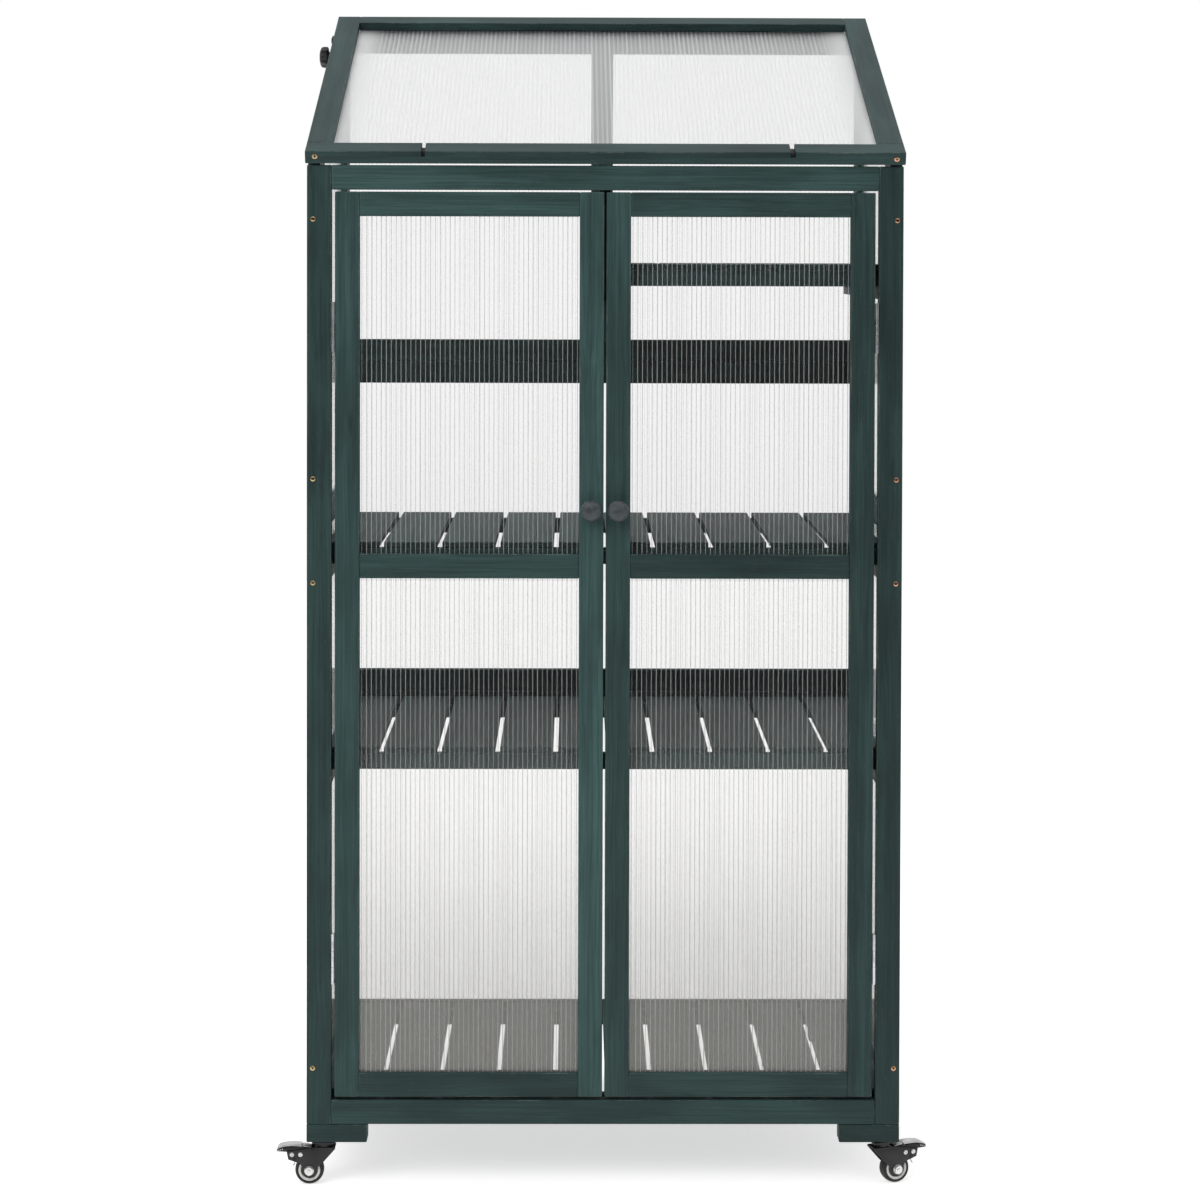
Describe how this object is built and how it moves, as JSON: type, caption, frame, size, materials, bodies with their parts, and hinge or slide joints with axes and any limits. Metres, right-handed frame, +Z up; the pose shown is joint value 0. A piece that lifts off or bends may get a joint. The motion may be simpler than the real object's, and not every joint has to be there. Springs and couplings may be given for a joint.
{
  "type": "mini greenhouse",
  "caption": "Portable timber greenhouse cabinet with twin-wall sheets, double doors, hinged sloping lid on a stay, slatted shelves and braked swivel castors.",
  "frame": {"origin": "middle of the bounding box's underside, on the floor", "axes": "+Z up, the doors face -Y, +X to the right seen from the front"},
  "size_m": [0.858, 0.5824, 1.575],
  "materials": {
    "timber": "semi-matte dark green stain",
    "door_timber": "semi-matte dark green stain",
    "lid_timber": "semi-matte dark green stain",
    "twinwall": "clear twin-wall sheet",
    "hinge_steel": "zinc plated",
    "black_steel": "semi-matte black paint",
    "dark_plastic": "satin",
    "pedal_plastic": "gloss",
    "wheel_rubber": "matte"
  },
  "bodies": {
    "cabinet": {"front_post_left": "timber", "front_post_right": "timber", "front_top_rail": "timber", "front_bottom_rail": "timber", "left_side_frame": "timber", "left_side_sheet": "twinwall", "right_side_frame": "timber", "right_side_sheet": "twinwall", "rear_lower_frame": "timber", "rear_lower_sheet": "twinwall", "rear_upper_frame": "timber", "rear_upper_sheet": "twinwall", "floor_shelf": "timber", "lower_shelf": "timber", "middle_shelf": "timber", "half_shelf": "timber", "half_shelf_support": "timber", "door_catch": "dark_plastic", "foot_block_front_left": "timber", "foot_block_front_right": "timber", "foot_block_rear_left": "timber", "foot_block_rear_right": "timber", "left_door_lower_hinge_post_leaf": "hinge_steel", "left_door_upper_hinge_post_leaf": "hinge_steel", "right_door_lower_hinge_post_leaf": "hinge_steel", "right_door_upper_hinge_post_leaf": "hinge_steel", "lid_left_hinge_wall_leaf": "hinge_steel", "lid_right_hinge_wall_leaf": "hinge_steel", "castor_front_left_plate": "black_steel", "castor_front_right_plate": "black_steel", "castor_rear_left_plate": "black_steel", "castor_rear_right_plate": "black_steel"},
    "left_door": {"left_door_frame": "door_timber", "left_door_sheet": "twinwall", "left_door_knob": "dark_plastic", "left_door_lower_hinge_door_leaf": "hinge_steel", "left_door_upper_hinge_door_leaf": "hinge_steel"},
    "right_door": {"right_door_frame": "door_timber", "right_door_sheet": "twinwall", "right_door_knob": "dark_plastic", "right_door_lower_hinge_door_leaf": "hinge_steel", "right_door_upper_hinge_door_leaf": "hinge_steel"},
    "lid": {"lid_frame": "lid_timber", "lid_sheet": "twinwall", "lid_left_hinge_lid_leaf": "hinge_steel", "lid_right_hinge_lid_leaf": "hinge_steel"},
    "stay_arm": {"stay_arm": "black_steel"},
    "star_knob": {"star_knob": "dark_plastic"},
    "castor_front_left": {"castor_front_left_fork": "black_steel"},
    "wheel_front_left": {"castor_front_left_wheel": "wheel_rubber"},
    "pedal_front_left": {"castor_front_left_pedal": "pedal_plastic"},
    "castor_front_right": {"castor_front_right_fork": "black_steel"},
    "wheel_front_right": {"castor_front_right_wheel": "wheel_rubber"},
    "pedal_front_right": {"castor_front_right_pedal": "pedal_plastic"},
    "castor_rear_left": {"castor_rear_left_fork": "black_steel"},
    "wheel_rear_left": {"castor_rear_left_wheel": "wheel_rubber"},
    "pedal_rear_left": {"castor_rear_left_pedal": "pedal_plastic"},
    "castor_rear_right": {"castor_rear_right_fork": "black_steel"},
    "wheel_rear_right": {"castor_rear_right_wheel": "wheel_rubber"},
    "pedal_rear_right": {"castor_rear_right_pedal": "pedal_plastic"}
  },
  "joints": [
    {"name": "left_door_hinge", "type": "hinge", "parent": "cabinet", "child": "left_door", "pos_m": [-0.35475, -0.26595, 0.118], "axis": [0, 0, -1], "range_deg": [0, 170]},
    {"name": "right_door_hinge", "type": "hinge", "parent": "cabinet", "child": "right_door", "pos_m": [0.35475, -0.26595, 0.118], "axis": [0, 0, 1], "range_deg": [0, 170]},
    {"name": "lid_hinge", "type": "hinge", "parent": "cabinet", "child": "lid", "pos_m": [0, 0.27455, 1.54943], "axis": [-1, 0, 0], "range_deg": [0, 60]},
    {"name": "stay_swing", "type": "hinge", "parent": "lid", "child": "stay_arm", "pos_m": [-0.3913, 0.2005, 1.53286], "axis": [-1, 0, 0], "range_deg": [-31, 1]},
    {"name": "star_knob_turn", "type": "hinge", "parent": "cabinet", "child": "star_knob", "pos_m": [-0.389, 0.20993, 1.50966], "axis": [-1, 0, 0], "range_deg": [0, 360]},
    {"name": "castor_front_left_swivel", "type": "hinge", "parent": "cabinet", "child": "castor_front_left", "pos_m": [-0.3665, -0.24895, 0.05], "axis": [0, 0, 1], "continuous": true},
    {"name": "castor_front_left_roll", "type": "hinge", "parent": "castor_front_left", "child": "wheel_front_left", "pos_m": [-0.3859, -0.24895, 0.019], "axis": [0, -1, 0], "continuous": true},
    {"name": "castor_front_left_brake", "type": "hinge", "parent": "castor_front_left", "child": "pedal_front_left", "pos_m": [-0.4084, -0.24895, 0.0405], "axis": [0, 1, 0], "range_deg": [0, 8]},
    {"name": "castor_front_right_swivel", "type": "hinge", "parent": "cabinet", "child": "castor_front_right", "pos_m": [0.3665, -0.24895, 0.05], "axis": [0, 0, 1], "continuous": true},
    {"name": "castor_front_right_roll", "type": "hinge", "parent": "castor_front_right", "child": "wheel_front_right", "pos_m": [0.38473, -0.24232, 0.019], "axis": [-0.342, 0.9397, 0], "continuous": true},
    {"name": "castor_front_right_brake", "type": "hinge", "parent": "castor_front_right", "child": "pedal_front_right", "pos_m": [0.40587, -0.23462, 0.0405], "axis": [0.342, -0.9397, 0], "range_deg": [0, 8]},
    {"name": "castor_rear_left_swivel", "type": "hinge", "parent": "cabinet", "child": "castor_rear_left", "pos_m": [-0.3665, 0.25505, 0.05], "axis": [0, 0, 1], "continuous": true},
    {"name": "castor_rear_left_roll", "type": "hinge", "parent": "castor_rear_left", "child": "wheel_rear_left", "pos_m": [-0.3859, 0.25505, 0.019], "axis": [0, -1, 0], "continuous": true},
    {"name": "castor_rear_left_brake", "type": "hinge", "parent": "castor_rear_left", "child": "pedal_rear_left", "pos_m": [-0.4084, 0.25505, 0.0405], "axis": [0, 1, 0], "range_deg": [0, 8]},
    {"name": "castor_rear_right_swivel", "type": "hinge", "parent": "cabinet", "child": "castor_rear_right", "pos_m": [0.3665, 0.25505, 0.05], "axis": [0, 0, 1], "continuous": true},
    {"name": "castor_rear_right_roll", "type": "hinge", "parent": "castor_rear_right", "child": "wheel_rear_right", "pos_m": [0.3859, 0.25505, 0.019], "axis": [0, 1, 0], "continuous": true},
    {"name": "castor_rear_right_brake", "type": "hinge", "parent": "castor_rear_right", "child": "pedal_rear_right", "pos_m": [0.4084, 0.25505, 0.0405], "axis": [0, -1, 0], "range_deg": [0, 8]}
  ],
  "couplings": [
    {"joint": "stay_swing", "follows": "lid_hinge", "ratio": -0.5}
  ]
}
